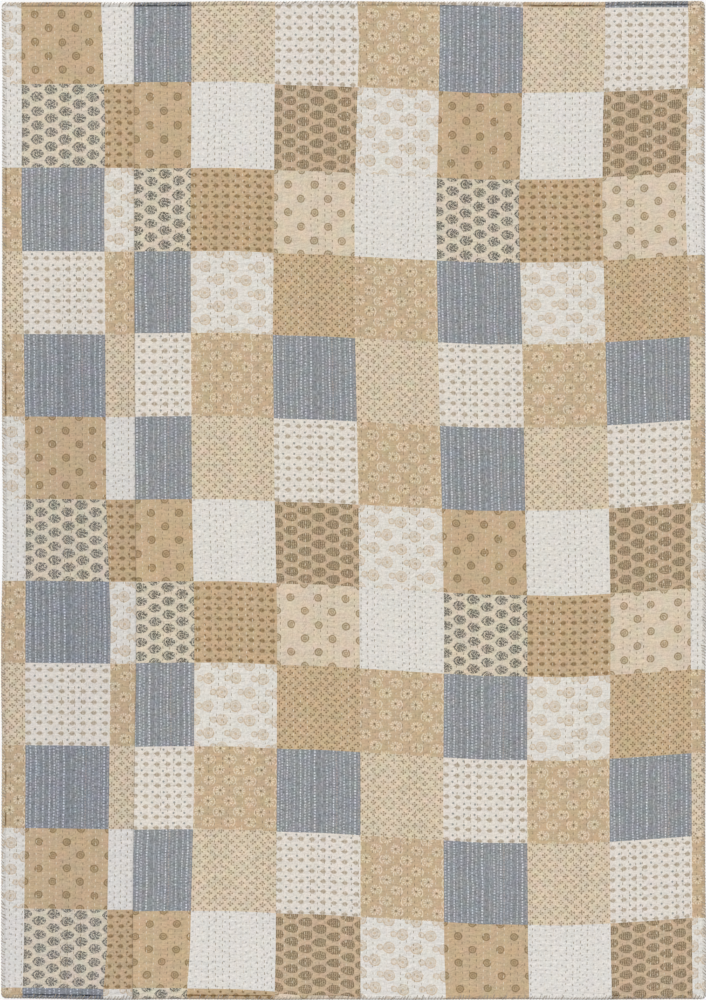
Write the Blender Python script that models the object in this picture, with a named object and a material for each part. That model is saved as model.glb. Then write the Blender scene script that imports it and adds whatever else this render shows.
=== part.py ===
# Kantha quilt: a cotton throw quilted by hand in long rows of running stitch, with a rolled
# and whipped edge, lying flat. It is two lengths of cloth, one narrow and one wide, joined by
# a lengthwise seam.
# Units are metres. +X runs across the quilt, +Y from its foot to its head, +Z up.
# The origin is the middle of the underside.

import math

import bmesh
import bpy

# Driving dimensions
QUILT_LENGTH = 2.000
QUILT_WIDTH = 1.410
NARROW_WIDTH = 0.265        # the narrow length of cloth, along the quilt's left side
SEAM_GAP = 0.0003           # between the two lengths where they are sewn together
NARROW_ROWS = 19            # rows of running stitch along the narrow length
WIDE_ROWS = 82              # and along the wide one
ROW_TO_EDGE = 0.0165        # from the outer edge to the first row
ROW_TO_SEAM = 0.0125        # from the seam to the first row
CREST_HEIGHT = 0.0029       # of the cloth between two rows
FURROW_HEIGHT = 0.0020      # of the cloth drawn down along a row
SEAM_HEIGHT = 0.0017        # of the cloth drawn down along the seam
CORNER_RADIUS = 0.009
SWAY = 0.0019               # how far a row of stitches wanders sideways
SWAY_FADE = 0.05            # from a side or the seam, where the wander starts, to its full size
SWELL = 0.0003              # how far the quilting rises and falls from place to place
STATIONS = 16               # stretches from head to foot between the two rolled ends

# The waves that the stitch rows' wander is the sum of, and those whose product is the swell
SWAY_WAVES = (
    # (share, wavelength across, wavelength along)
    (1.0, 0.90, 0.62),
    (0.5, -0.37, 0.23),
)
SWELL_WAVES = (
    # (wavelength across, wavelength along)
    (0.29, 0.53),
    (-0.61, 0.37),
)

# The rolled edge, from the outside in
EDGE_ROLL = (
    # (inset, height)
    (0.0000, 0.0012),
    (0.0022, 0.0031),
    (0.0064, 0.0033),
    (0.0105, 0.0019),
)

# How far the sides and the seam stray from straight lines. Places run from the head, 0, to
# the foot, 1. The sides stray outwards, and the seam towards the wide length.
SIDES = (
    # (place, left side, right side, seam)
    (0.000, 0.0008, 0.0006, -0.0006),
    (0.083, -0.0012, -0.0010, 0.0000),
    (0.167, 0.0000, -0.0016, 0.0000),
    (0.250, -0.0006, -0.0006, 0.0004),
    (0.333, 0.0002, 0.0002, 0.0008),
    (0.417, 0.0002, 0.0002, 0.0016),
    (0.500, -0.0016, 0.0006, 0.0024),
    (0.583, -0.0014, 0.0016, 0.0038),
    (0.630, 0.0024, 0.0012, 0.0040),
    (0.680, 0.0020, 0.0002, 0.0034),
    (0.750, 0.0000, 0.0008, 0.0010),
    (0.833, 0.0012, -0.0008, -0.0012),
    (0.917, 0.0014, 0.0014, -0.0030),
    (1.000, 0.0018, 0.0016, -0.0020),
)

# How far the ends stray outwards. Places run from the left side, 0, to the right side, 1.
ENDS = (
    # (place, head, foot)
    (0.000, -0.0014, -0.0024),
    (0.083, -0.0008, -0.0010),
    (0.167, -0.0014, 0.0012),
    (0.250, -0.0002, -0.0004),
    (0.333, 0.0014, 0.0004),
    (0.400, 0.0002, 0.0012),
    (0.460, 0.0018, 0.0002),
    (0.583, 0.0000, 0.0010),
    (0.667, 0.0002, 0.0000),
    (0.750, -0.0004, -0.0002),
    (0.833, -0.0006, 0.0008),
    (0.917, 0.0012, -0.0006),
    (1.000, 0.0018, -0.0004),
)

# The two lengths of cloth, each with its mean colour
PANEL_COLOURS = {
    "narrow_panel": (0.51, 0.43, 0.34),
    "wide_panel": (0.53, 0.47, 0.39),
}
COTTON_ROUGHNESS = 0.9
SMOOTH_UP_TO = math.radians(50)

LEFT_SIDE = -QUILT_WIDTH / 2
RIGHT_SIDE = QUILT_WIDTH / 2
SEAM_LINE = LEFT_SIDE + NARROW_WIDTH
HEAD = QUILT_LENGTH / 2
ROLL_WIDTH = EDGE_ROLL[-1][0]
ROLL_TO_FIELD = 0.012       # from the rolled end to the first row of points past it
TOUCH = 1e-6                # below which two places are the same


def read_table(table, place, column):
    """The value of a column at a place, on straight lines between the rows of the table."""
    for low, high in zip(table, table[1:]):
        if place <= high[0]:
            share = (place - low[0]) / (high[0] - low[0])
            return low[column] + share * (high[column] - low[column])
    return table[-1][column]


def roll_height(inset):
    return read_table(EDGE_ROLL, inset, 1)


def sway(x, y):
    """The sideways wander of the stitch rows, which neighbours share."""
    total = sum(share * math.sin(math.tau * (x / across + y / along)) for share, across, along in SWAY_WAVES)
    from_side = min(RIGHT_SIDE - abs(x), abs(x - SEAM_LINE))
    return SWAY * total * min(1.0, max(0.0, from_side / SWAY_FADE))


def swell(x, y):
    return SWELL * math.prod(math.sin(math.tau * (x / across + y / along)) for across, along in SWELL_WAVES)


def columns_across(start, end, edge_at_start, rows):
    """The places of one length's columns of points, each with the height of its cloth, or
    with None in the rolled edge. They run from one side of the length to the other."""
    rolled = [(inset, None) for inset, _ in EDGE_ROLL]
    sewn = [(0.0, SEAM_HEIGHT)]
    at_start, at_end = (rolled, sewn) if edge_at_start else (sewn, rolled)
    first = start + (ROW_TO_EDGE if edge_at_start else ROW_TO_SEAM)
    last = end - (ROW_TO_SEAM if edge_at_start else ROW_TO_EDGE)
    steps = 2 * (rows - 1)
    places = [(start + inset, height) for inset, height in at_start]
    for i in range(steps + 1):
        height = CREST_HEIGHT if i % 2 else FURROW_HEIGHT
        places.append((first + (last - first) * i / steps, height))
    places += [(end - inset, height) for inset, height in reversed(at_end)]
    return places


def rows_along():
    """The places of the rows of points, from the foot to the head."""
    rolled = [inset for inset, _ in EDGE_ROLL]
    first = ROLL_WIDTH + ROLL_TO_FIELD
    field = [first + (QUILT_LENGTH - 2 * first) * i / STATIONS for i in range(STATIONS + 1)]
    return [y - HEAD for y in rolled + field] + [HEAD - inset for inset in reversed(rolled)]


def round_corner(across, along):
    """Moves a point near a corner so that the square corner becomes a quarter circle.
    Both numbers are the point's distances from the two edges."""
    a = CORNER_RADIUS - across
    b = CORNER_RADIUS - along
    if a <= 0 or b <= 0:
        return across, along
    shrink = max(a, b) / math.hypot(a, b)
    return CORNER_RADIUS - a * shrink, CORNER_RADIUS - b * shrink


def surface_point(x, y, height, left_shift, right_shift, start, end):
    """One point of a length's upper face. The height is None in its rolled edge."""
    side_inset = RIGHT_SIDE - abs(x)
    end_inset = HEAD - abs(y)
    inset = min(side_inset, end_inset)
    if inset <= ROLL_WIDTH + TOUCH:
        z = roll_height(inset)
        if height == SEAM_HEIGHT:
            z = min(z, SEAM_HEIGHT)
    else:
        z = height + swell(x, y)
    new_side, new_end = round_corner(side_inset, end_inset)
    share = (x - start) / (end - start)
    drift = (1 - share) * left_shift + share * right_shift
    new_x = math.copysign(RIGHT_SIDE - new_side, x) + sway(x, y) + drift
    head_share = y / QUILT_LENGTH + 0.5
    place_across = x / QUILT_WIDTH + 0.5
    stretch = head_share * read_table(ENDS, place_across, 1)
    stretch -= (1 - head_share) * read_table(ENDS, place_across, 2)
    new_y = math.copysign(HEAD - new_end, y) + stretch
    return new_x, new_y, z


def close_underside(mesh):
    """Carries the open face's border straight down to the floor and closes it with one flat face."""
    border = [edge for edge in mesh.edges if edge.is_boundary]
    walls = bmesh.ops.extrude_edge_only(mesh, edges=border)["geom"]
    for vert in walls:
        if isinstance(vert, bmesh.types.BMVert):
            vert.co.z = 0.0
    rim = [edge for edge in mesh.edges if edge.is_boundary]
    bmesh.ops.contextual_create(mesh, geom=rim)
    bmesh.ops.recalc_face_normals(mesh, faces=mesh.faces)


def make_panel(name, start, end, edge_at_start, rows, material):
    """One quilted length of cloth, as a closed sheet with a flat underside."""
    across = columns_across(start, end, edge_at_start, rows)
    along = rows_along()
    mesh = bmesh.new()
    bmesh.ops.create_grid(mesh, x_segments=len(across) - 1, y_segments=len(along) - 1, size=0.5)
    for vert in mesh.verts:
        x, height = across[round((vert.co.x + 0.5) * (len(across) - 1))]
        y = along[round((vert.co.y + 0.5) * (len(along) - 1))]
        place = 0.5 - y / QUILT_LENGTH
        seam_shift = read_table(SIDES, place, 3)
        if edge_at_start:
            left_shift, right_shift = -read_table(SIDES, place, 1), seam_shift
        else:
            left_shift, right_shift = seam_shift, read_table(SIDES, place, 2)
        vert.co = surface_point(x, y, height, left_shift, right_shift, start, end)
    close_underside(mesh)
    data = bpy.data.meshes.new(name)
    mesh.to_mesh(data)
    mesh.free()
    data.shade_smooth()
    data.set_sharp_from_angle(angle=SMOOTH_UP_TO)
    data.materials.append(material)
    panel = bpy.data.objects.new(name, data)
    bpy.data.collections["kantha_quilt"].objects.link(panel)
    return panel


def cotton(name, colour):
    material = bpy.data.materials.new(name)
    material.use_nodes = True
    shader = material.node_tree.nodes["Principled BSDF"]
    shader.inputs["Base Color"].default_value = (*colour, 1.0)
    shader.inputs["Roughness"].default_value = COTTON_ROUGHNESS
    shader.inputs["Metallic"].default_value = 0.0
    return material


def centre_on_origin(panels):
    """Shifts the panels so that the middle of their common box is the origin."""
    points = [vert.co for panel in panels for vert in panel.data.vertices]
    for axis in (0, 1):
        middle = (min(p[axis] for p in points) + max(p[axis] for p in points)) / 2
        for point in points:
            point[axis] -= middle


def main():
    for item in list(bpy.data.objects):
        bpy.data.objects.remove(item, do_unlink=True)
    collection = bpy.data.collections.new("kantha_quilt")
    bpy.context.scene.collection.children.link(collection)
    spans = {
        "narrow_panel": (LEFT_SIDE, SEAM_LINE - SEAM_GAP / 2, True, NARROW_ROWS),
        "wide_panel": (SEAM_LINE + SEAM_GAP / 2, RIGHT_SIDE, False, WIDE_ROWS),
    }
    panels = [
        make_panel(name, *spans[name], cotton(name, colour))
        for name, colour in PANEL_COLOURS.items()
    ]
    centre_on_origin(panels)


main()
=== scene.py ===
# The looks of a kantha quilt: two lengths of patch-printed cotton, sewn side by side, quilted
# all over in rows of white and tan running stitch, with a rolled edge whipped all round.
# Sizes are in metres unless a note says millimetres. +X runs across the quilt, +Y from its
# foot to its head, and the origin is the middle of its underside.
import math

import bmesh
import bpy
import numpy as np
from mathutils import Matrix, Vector


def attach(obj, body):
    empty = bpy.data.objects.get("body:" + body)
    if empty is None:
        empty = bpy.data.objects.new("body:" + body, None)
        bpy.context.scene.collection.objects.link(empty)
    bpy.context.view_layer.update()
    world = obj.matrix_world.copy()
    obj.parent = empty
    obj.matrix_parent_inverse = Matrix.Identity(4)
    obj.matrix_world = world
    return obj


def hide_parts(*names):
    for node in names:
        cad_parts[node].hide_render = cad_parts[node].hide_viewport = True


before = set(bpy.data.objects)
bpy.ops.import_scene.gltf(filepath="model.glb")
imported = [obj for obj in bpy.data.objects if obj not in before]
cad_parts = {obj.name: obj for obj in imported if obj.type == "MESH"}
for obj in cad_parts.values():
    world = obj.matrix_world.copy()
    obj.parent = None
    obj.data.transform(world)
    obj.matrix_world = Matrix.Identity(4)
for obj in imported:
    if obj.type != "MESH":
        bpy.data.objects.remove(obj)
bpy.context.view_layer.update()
print("frame loaded")


# Small helpers for node trees

class Term:
    # A value in a node tree. Plus, minus and the like add Math nodes, so a print reads as a formula.
    def __init__(self, tree, socket):
        self.tree = tree
        self.socket = socket

    def math(self, operation, *others, clamp=False):
        node = self.tree.nodes.new("ShaderNodeMath")
        node.operation = operation
        node.use_clamp = clamp
        for entry, value in zip(node.inputs, (self, *others)):
            feed(self.tree, entry, value)
        return Term(self.tree, node.outputs[0])

    def __add__(self, other):
        return self.math("ADD", other)

    def __sub__(self, other):
        return self.math("SUBTRACT", other)

    def __mul__(self, other):
        return self.math("MULTIPLY", other)

    def __truediv__(self, other):
        return self.math("DIVIDE", other)

    def __rsub__(self, other):
        return self.math("MULTIPLY_ADD", -1.0, other)

    __radd__ = __add__
    __rmul__ = __mul__

    def size(self):
        return self.math("ABSOLUTE")

    def limited(self):
        return self.math("ADD", 0.0, clamp=True)

    def most(self, other):
        return self.math("MAXIMUM", other)

    def wave(self):
        return self.math("SINE")


def feed(tree, entry, value):
    if isinstance(value, Term):
        tree.links.new(value.socket, entry)
    elif isinstance(value, bpy.types.NodeSocket):
        tree.links.new(value, entry)
    else:
        entry.default_value = value


def addNode(tree, kind, entries=None, **settings):
    node = tree.nodes.new(kind)
    for name, value in settings.items():
        setattr(node, name, value)
    for name, value in (entries or {}).items():
        feed(tree, node.inputs[name], value)
    return node


def fade(value, start, end):
    # 0 at the start, 1 at the end and smooth between; the start may be the larger number
    ends = {"Value": value, "From Min": start, "From Max": end}
    node = addNode(value.tree, "ShaderNodeMapRange", ends, interpolation_type="SMOOTHSTEP")
    return Term(value.tree, node.outputs["Result"])


def hypotenuse(a, b):
    return (a * a + b * b).math("SQRT")


def noise(tree, where, scale, detail=2.0, roughness=0.5):
    entries = {"Vector": where, "Scale": scale, "Detail": detail, "Roughness": roughness}
    return Term(tree, addNode(tree, "ShaderNodeTexNoise", entries).outputs[0])


def flatNoise(tree, x, y, detail=1.0, roughness=0.5):
    return noise(tree, vector(tree, x, y), 1.0, detail, roughness)


def drifts(tree, where, scale, detail):
    # Three noises, each on its own
    entries = {"Vector": where, "Scale": scale, "Detail": detail}
    return parts(tree, addNode(tree, "ShaderNodeTexNoise", entries).outputs["Color"])


def vector(tree, x, y, z=0.0):
    return addNode(tree, "ShaderNodeCombineXYZ", {"X": x, "Y": y, "Z": z}).outputs["Vector"]


def parts(tree, socket):
    node = addNode(tree, "ShaderNodeSeparateXYZ", {"Vector": socket})
    return [Term(tree, out) for out in node.outputs]


def blend(tree, share, first, second, kind="MIX"):
    node = addNode(tree, "ShaderNodeMix", data_type="RGBA", blend_type=kind)
    for place, value in ((0, share), (6, first), (7, second)):
        feed(tree, node.inputs[place], value)
    return node.outputs[2]


def attribute(tree, name):
    return Term(tree, addNode(tree, "ShaderNodeAttribute", attribute_name=name).outputs["Fac"])


def dye(red, green, blue):
    # A colour as the eye reads it, 0 to 255, made a colour that light is multiplied by
    seen = [part / 255 for part in (red, green, blue)]
    straight = [s / 12.92 if s <= 0.04045 else ((s + 0.055) / 1.055) ** 2.4 for s in seen]
    return tuple(part * exposure["dyeToSeen"] for part in straight) + (1.0,)


def newMaterial(name, surface):
    # A material whose shader has these plain values, with its tree and its shader
    material = bpy.data.materials.new(name)
    material.use_nodes = True
    shader = material.node_tree.nodes["Principled BSDF"]
    for label, value in surface.items():
        shader.inputs[label].default_value = value
    return material, material.node_tree, shader


def placeOn(tree):
    return addNode(tree, "ShaderNodeTexCoord").outputs["Object"]


def cover(tree, shader, colour, tone, height):
    # Gives a shader its colour, lighter or darker by a tone, and its bump
    feed(tree, shader.inputs["Base Color"], blend(tree, 1.0, colour, tone, "MULTIPLY"))
    bump = addNode(tree, "ShaderNodeBump", {"Strength": 1.0, "Distance": 1.0, "Height": height})
    feed(tree, shader.inputs["Normal"], bump.outputs["Normal"])


def addObject(name, data):
    item = bpy.data.objects.new(name, data)
    bpy.context.scene.collection.objects.link(item)
    return item


def lineObject(name, points, edges):
    data = bpy.data.meshes.new(name)
    data.from_pydata(points, edges, [])
    return addObject(name, data)


def plainMesh(item):
    # The evaluated object as an object of its own, with no modifier on it
    graph = bpy.context.evaluated_depsgraph_get()
    evaluated = item.evaluated_get(graph)
    data = bpy.data.meshes.new_from_object(evaluated, preserve_all_data_layers=True, depsgraph=graph)
    name = item.name
    bpy.data.objects.remove(item, do_unlink=True)
    data.name = name
    return addObject(name, data)


def runTree(item, tree, values):
    # Puts a node tree on an object, sets its inputs and returns the result as a plain mesh
    modifier = item.modifiers.new(tree.name, "NODES")
    modifier.node_group = tree
    for socket in tree.interface.items_tree:
        if socket.item_type == "SOCKET" and socket.name in values:
            modifier[socket.identifier] = values[socket.name]
    return plainMesh(item)


def newTree(name, sizes, **others):
    # A node tree with an input for each size, and its inputs, the sizes in it and its output
    tree = bpy.data.node_groups.new(name, "GeometryNodeTree")
    tree.interface.new_socket("Geometry", in_out="INPUT", socket_type="NodeSocketGeometry")
    for label, kind in {**dict.fromkeys(sizes, "Float"), **others}.items():
        tree.interface.new_socket(label, in_out="INPUT", socket_type="NodeSocket" + kind)
    tree.interface.new_socket("Geometry", in_out="OUTPUT", socket_type="NodeSocketGeometry")
    entry = tree.nodes.new("NodeGroupInput").outputs
    leave = tree.nodes.new("NodeGroupOutput").inputs["Geometry"]
    return tree, entry, {label: Term(tree, entry[label]) for label in sizes}, leave


def readAttribute(tree, name, kind="FLOAT"):
    node = addNode(tree, "GeometryNodeInputNamedAttribute", {"Name": name}, data_type=kind)
    return Term(tree, next(out for out in node.outputs if out.name == "Attribute" and out.enabled))


def through(tree, geometry, kind, **entries):
    # Sends geometry through one more node
    return addNode(tree, "GeometryNode" + kind, {"Geometry": geometry, **entries}).outputs[0]


# How the quilt is laid out

exposure = {
    "dyeToSeen": 0.97,              # a dye's share of the light, where the picture reads it in full
    "sunStrength": 2.35,
    "worldStrength": 0.38,
}

quilt = {
    "length": 2.000,
    "width": 1.410,
    "narrowWidth": 0.265,
    "cornerRadius": 0.009,
    "rowToEdge": 0.0165,            # from the outer edge to the first row of stitches
    "rowToSeam": 0.0125,
    "rows": {"narrow_panel": 19, "wide_panel": 82},
    "stitchPitch": 0.0121,          # from one stitch to the next along a row
    "firstStitch": 0.0135,          # from the quilt's end
    "rowEnds": 0.0150,              # a stitch whose middle lies nearer to the quilt's end is left out
    "stitchLine": 0.002,            # height of the lines that the stitches are counted on
    "rollEase": 0.005,              # from the roll to where the relief is whole
    "seamStart": 0.0008,
    "seamEase": 0.006,
    "lotStart": 0.6,                # the narrow cloth is darker from here to its foot
    "lotFade": 0.5,
    "sway": 0.0019,                 # how far a row wanders sideways
    "swayFade": 0.05,
    "swayWaves": ((1.0, 0.90, 0.62), (0.5, -0.37, 0.23)),     # share, wavelength across and along
    "seed": 7,
}

# The rolled edge from the underside, round the outside, to the start of the quilted field
roll = (
    # (inset, height)
    (0.0014, 0.0000),
    (0.0004, 0.0004),
    (0.0000, 0.0013),
    (0.0004, 0.0024),
    (0.0012, 0.0031),
    (0.0026, 0.0036),
    (0.0044, 0.0037),
    (0.0062, 0.0034),
    (0.0078, 0.0027),
    (0.0090, 0.0020),
)
insetOf = np.array([ring[0] for ring in roll])
heightOf = np.array([ring[1] for ring in roll])
ringCount = len(roll) - 1
pastRoll = (0.0105, 0.0130)         # insets of the points between the roll and the field

# The cloth's edge at the seam, from the underside up
seamFold = (
    # (distance from the seam, height, length of cloth past the seam)
    (0.0000, 0.0000, 0.0016),
    (0.0000, 0.0011, 0.0005),
    (0.0008, 0.0017, -0.0007),
    (0.0032, 0.0021, -0.0032),
)

clothStep = 0.0060                  # along the rows, between points of the cloth's mesh
pointsPerRow = 3                    # across, from one row of stitches to the next

# The printed squares. Borders are in millimetres from the quilt's middle, as the cloth lies.
patchSize = 166.5
columnPlaces = (990, 923, 753, 584, 335, 0, -246, -581, -904, -985)
columnBorders = {
    "narrow_panel": (
        (-666, -666, -665, -666, -661, -657, -658, -658, -661, -664),
        (-506, -503, -498, -500, -498, -496, -487, -490, -495, -502),
    ),
    "wide_panel": (
        (-325, -325, -325, -327, -326, -324, -319, -320, -328, -334),
        (-157, -157, -159, -159, -162, -158, -153, -154, -156, -158),
        (8, 11, 6, 2, 3, 10, 12, 14, 14, 14),
        (173, 173, 170, 166, 169, 177, 182, 180, 182, 185),
        (340, 340, 337, 331, 338, 344, 349, 348, 350, 352),
        (505, 505, 500, 499, 505, 512, 516, 513, 516, 518),
        (671, 672, 668, 666, 674, 677, 676, 678, 679, 680),
    ),
}
firstColumn = {"narrow_panel": 1, "wide_panel": 4}      # the column that starts at the first border
rowBorders = {
    "narrow_panel": (1004, 836, 668, 500, 333.5, 168, 2.5, -162, -326.5, -492, -658.5, -820, -979),
    "wide_panel": (1006.5, 839.5, 666.5, 500, 336, 169, 2.5, -164, -327, -495, -661.5, -825, -983),
}
bow = {
    # How far the wide cloth's row borders sag towards the foot: (place across, sag)
    "head": ((-440, 0), (5, 2), (171, 13), (238, 14.5), (338, 17.5), (422, 18), (505, 18.5), (675, 19.5)),
    "first": (
        (-440, 0), (-244, 0.5), (-77, 9.5), (89, 14.2), (256, 23.2), (422, 21), (589, 18.4), (675, 14.5),
    ),
    "upper": ((-440, 0), (-244, 0.5), (-77, 7.6), (89, 15), (256, 23.5), (422, 22.4), (589, 15), (675, 9)),
    "lower": ((-440, -1.6), (-244, -1.5), (-77, 5), (89, 14), (256, 25), (422, 27.5), (589, 19.5), (675, 13)),
    "foot": (
        (-440, -6), (-330, -4), (-236, -3.5), (-158, 1), (-149, 5), (-103, 9), (-20, 10), (5, 14),
        (89, 23), (172, 24), (256, 22.5), (422, 23.9), (589, 18), (675, 17),
    ),
}
# The cloth repeats four squares across and five down. Each letter is one print.
repeat = ("BSMF", "DWPR", "CNLW", "BRTF", "MFBS")
printShift = {"narrow_panel": (1, 3), "wide_panel": (0, -3)}      # rows down, columns across

# Where the painted shadow in the groove beside the rolled edge is darkest
grooveShadowSpots = (
    # (x, y, half length, depth), the first three in millimetres
    (-589, 1000, 80, 0.5), (-384, 1000, 58, 1.0), (256, 1000, 84, 0.6), (420, 1000, 66, 1.25),
    (623, 1000, 52, 0.9), (-704, 632, 30, 0.6), (-704, 225, 58, 1.1), (-704, -555, 14, 0.9),
    (-704, -640, 15, 1.1), (-583, -1000, 82, 1.1), (-248, -1000, 88, 1.0), (525, -1000, 14, 1.0),
    (-47, -1000, 50, 0.5),
)

# Rows of stitches in tan thread, from each length's outer side; the others are in white
tanRows = {
    "narrow_panel": (0, 1, 2, 8, 9, 10, 11, 16, 17, 18),
    "wide_panel": tuple(
        81 - row for first, last in (
            (3, 6), (10, 13), (17, 20), (25, 28), (31, 34), (38, 41), (46, 49),
            (54, 57), (62, 65), (70, 73), (78, 81),
        ) for row in range(first, last + 1)
    ),
}


def outline(node, axis, atLow):
    # One side of a CAD panel's outline, as places along it and how far out it lies there
    sideBand, cornerSpan, floorHeight = 0.008, 0.012, 1e-5
    points = np.array([v.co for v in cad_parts[node].data.vertices])
    low, high = points.min(0), points.max(0)
    edge = low[axis] if atLow else high[axis]
    other = 1 - axis
    nearEdge = np.abs(points[:, axis] - edge) < sideBand
    offCorner = np.abs(points[:, other]) < np.abs(points[:, other]).max() - cornerSpan
    chosen = points[nearEdge & offCorner & (points[:, 2] < floorHeight)]
    order = np.argsort(chosen[:, other])
    return chosen[order, other], chosen[order, axis]


def along(line, places):
    return np.interp(places, line[0], line[1])


def easeIn(value):
    value = np.clip(value, 0.0, 1.0)
    return value * value * (3 - 2 * value)


class Panel:
    # Where the points of one length of cloth lie. Across, they are counted from its outer side.
    def __init__(self, node):
        self.node = node
        self.onLeft = node == "narrow_panel"
        self.sign = 1 if self.onLeft else -1
        self.width = quilt["narrowWidth"] if self.onLeft else quilt["width"] - quilt["narrowWidth"]
        self.rows = quilt["rows"][node]
        self.pitch = (self.width - quilt["rowToEdge"] - quilt["rowToSeam"]) / (self.rows - 1)
        self.outerSide = outline(node, 0, self.onLeft)
        self.seam = outline(node, 0, not self.onLeft)
        self.head = outline(node, 1, False)
        self.foot = outline(node, 1, True)
        generator = np.random.default_rng(quilt["seed"] + self.rows)
        self.stitchPhase = generator.random(self.rows)

    def place(self, across, down):
        # The real place of a point, given its distance from the outer side and from the head
        nominalX = (across - quilt["width"] / 2) * self.sign
        nominalY = quilt["length"] / 2 - down
        side = along(self.outerSide, nominalY)
        x = side + (along(self.seam, nominalY) - side) * across / self.width
        head = along(self.head, nominalX)
        y = head + (along(self.foot, nominalX) - head) * down / quilt["length"]
        total = sum(
            share * np.sin(math.tau * (nominalX / wide + nominalY / long))
            for share, wide, long in quilt["swayWaves"]
        )
        fromSide = np.minimum(across, self.width - across) / quilt["swayFade"]
        return x + quilt["sway"] * total * np.clip(fromSide, 0, 1), y


def inSquares(place, borders, first):
    # Counts squares along a line of borders; past both ends each square is as it was printed
    count = first + (place - borders[0]) / patchSize
    for number, (low, high) in enumerate(zip(borders, borders[1:])):
        count = np.where(place > low, first + number + (place - low) / (high - low), count)
    last = len(borders) - 1
    return np.where(place > borders[-1], first + last + (place - borders[-1]) / patchSize, count)


def printPlace(node, x, y):
    # Where a point is in the print, in squares across and down; x and y are in millimetres
    upright = [np.interp(-y, [-place for place in columnPlaces], line) for line in columnBorders[node]]
    lines = rowBorders[node]
    kinds = ["head", "first"] + ["upper"] * 5 + ["lower"] * (len(lines) - 8) + ["foot"]
    sags = [np.interp(x, *zip(*bow[kind])) if node == "wide_panel" else 0.0 for kind in kinds]
    level = [sag - line for line, sag in zip(lines, sags)]
    return inSquares(x, upright, firstColumn[node]), inSquares(-y, level, 0)


def letterAt(node, u, v):
    # Which print a place in the print belongs to
    rowsDown, columnsAcross = printShift[node]
    row = repeat[(math.floor(v) + rowsDown) % len(repeat)]
    return row[(math.floor(u) + columnsAcross) % len(row)]


def grooveShadowAt(x, y):
    # How dark the painted shadow in the groove beside the roll is, about 0 to 1; x and y are in millimetres
    depth = 0.12 + 0 * x
    for middleX, middleY, half, most in grooveShadowSpots:
        away = np.hypot(x - middleX, y - middleY)
        depth = np.maximum(depth, most * easeIn((half * 1.2 - away) / (half * 0.4)))
    return depth


def clothGrid(panel):
    # The columns and rows of points of one length of cloth, each as a list of (distance of the
    # point from the edge, distance as the cloth would lie unrolled, ring of the roll or past it)
    unrolled = [0.0]
    for (inset, height), (nextInset, nextHeight) in zip(roll, roll[1:]):
        unrolled.append(unrolled[-1] + math.hypot(nextInset - inset, nextHeight - height))
    unrolled = [length - unrolled[-1] + insetOf[-1] for length in unrolled]
    edge = [(insetOf[k], unrolled[k], k) for k in range(ringCount + 1)]
    edge += [(inset, inset, ringCount) for inset in pastRoll]
    columns = list(edge)
    for step in range((panel.rows - 1) * pointsPerRow + 1):
        inset = quilt["rowToEdge"] + panel.pitch * step / pointsPerRow
        columns.append((inset, inset, ringCount))
    for distance, _, spare in reversed(seamFold):
        columns.append((panel.width - distance, panel.width + spare, ringCount))
    start = pastRoll[-1] + clothStep / 2
    steps = round((quilt["length"] - 2 * start) / clothStep)
    field = [start + (quilt["length"] - 2 * start) * step / steps for step in range(steps + 1)]
    rows = edge + [(inset, inset, ringCount) for inset in field]
    rows += [(quilt["length"] - inset, quilt["length"] - flat, ring) for inset, flat, ring in reversed(edge)]
    return np.array(columns), np.array(rows)


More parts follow.
